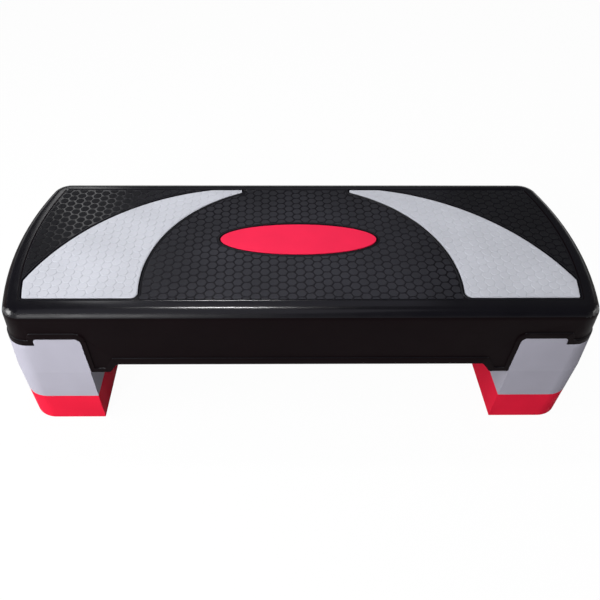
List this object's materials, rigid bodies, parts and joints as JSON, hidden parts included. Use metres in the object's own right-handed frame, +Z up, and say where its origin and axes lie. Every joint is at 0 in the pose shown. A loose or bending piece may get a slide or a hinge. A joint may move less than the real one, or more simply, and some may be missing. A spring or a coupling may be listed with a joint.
{
  "type": "aerobic step platform",
  "caption": "Long low step platform for aerobic exercise: ribbed plastic deck with a honeycomb tread and inlays, on stacking riser blocks that lift off to change its height.",
  "frame": {"origin": "middle of the footprint, on the floor", "axes": "+X along the deck, +Y to the rear, +Z up; the picture's side is -Y"},
  "size_m": [0.78, 0.298, 0.2],
  "materials": {
    "deck_black": "glossy moulded rim, matte honeycomb tread",
    "inlay_grey": "matte, faint honeycomb",
    "inlay_red": "satin, smooth",
    "riser_grey": "satin moulded",
    "riser_red": "satin moulded",
    "rubber": "matte"
  },
  "bodies": {
    "deck": {"deck_shell": "deck_black", "left_crescent_inlay": "inlay_grey", "right_crescent_inlay": "inlay_grey", "oval_inlay": "inlay_red", "deck_pad_1": "rubber", "deck_pad_2": "rubber", "deck_pad_3": "rubber", "deck_pad_4": "rubber"},
    "left_upper": {"left_upper_riser": "riser_grey"},
    "right_upper": {"right_upper_riser": "riser_grey"},
    "left_lower": {"left_lower_riser": "riser_red", "left_pad_1": "rubber", "left_pad_2": "rubber", "left_pad_3": "rubber", "left_pad_4": "rubber"},
    "right_lower": {"right_lower_riser": "riser_red", "right_pad_1": "rubber", "right_pad_2": "rubber", "right_pad_3": "rubber", "right_pad_4": "rubber"}
  },
  "joints": [
    {"name": "left_upper_lift", "type": "slide", "parent": "deck", "child": "left_upper", "axis": [0, 0, -1], "range_m": [0, 0.08]},
    {"name": "right_upper_lift", "type": "slide", "parent": "deck", "child": "right_upper", "axis": [0, 0, -1], "range_m": [0, 0.08]},
    {"name": "left_lower_lift", "type": "slide", "parent": "left_upper", "child": "left_lower", "axis": [0, 0, -1], "range_m": [0, 0.04]},
    {"name": "right_lower_lift", "type": "slide", "parent": "right_upper", "child": "right_lower", "axis": [0, 0, -1], "range_m": [0, 0.04]}
  ]
}
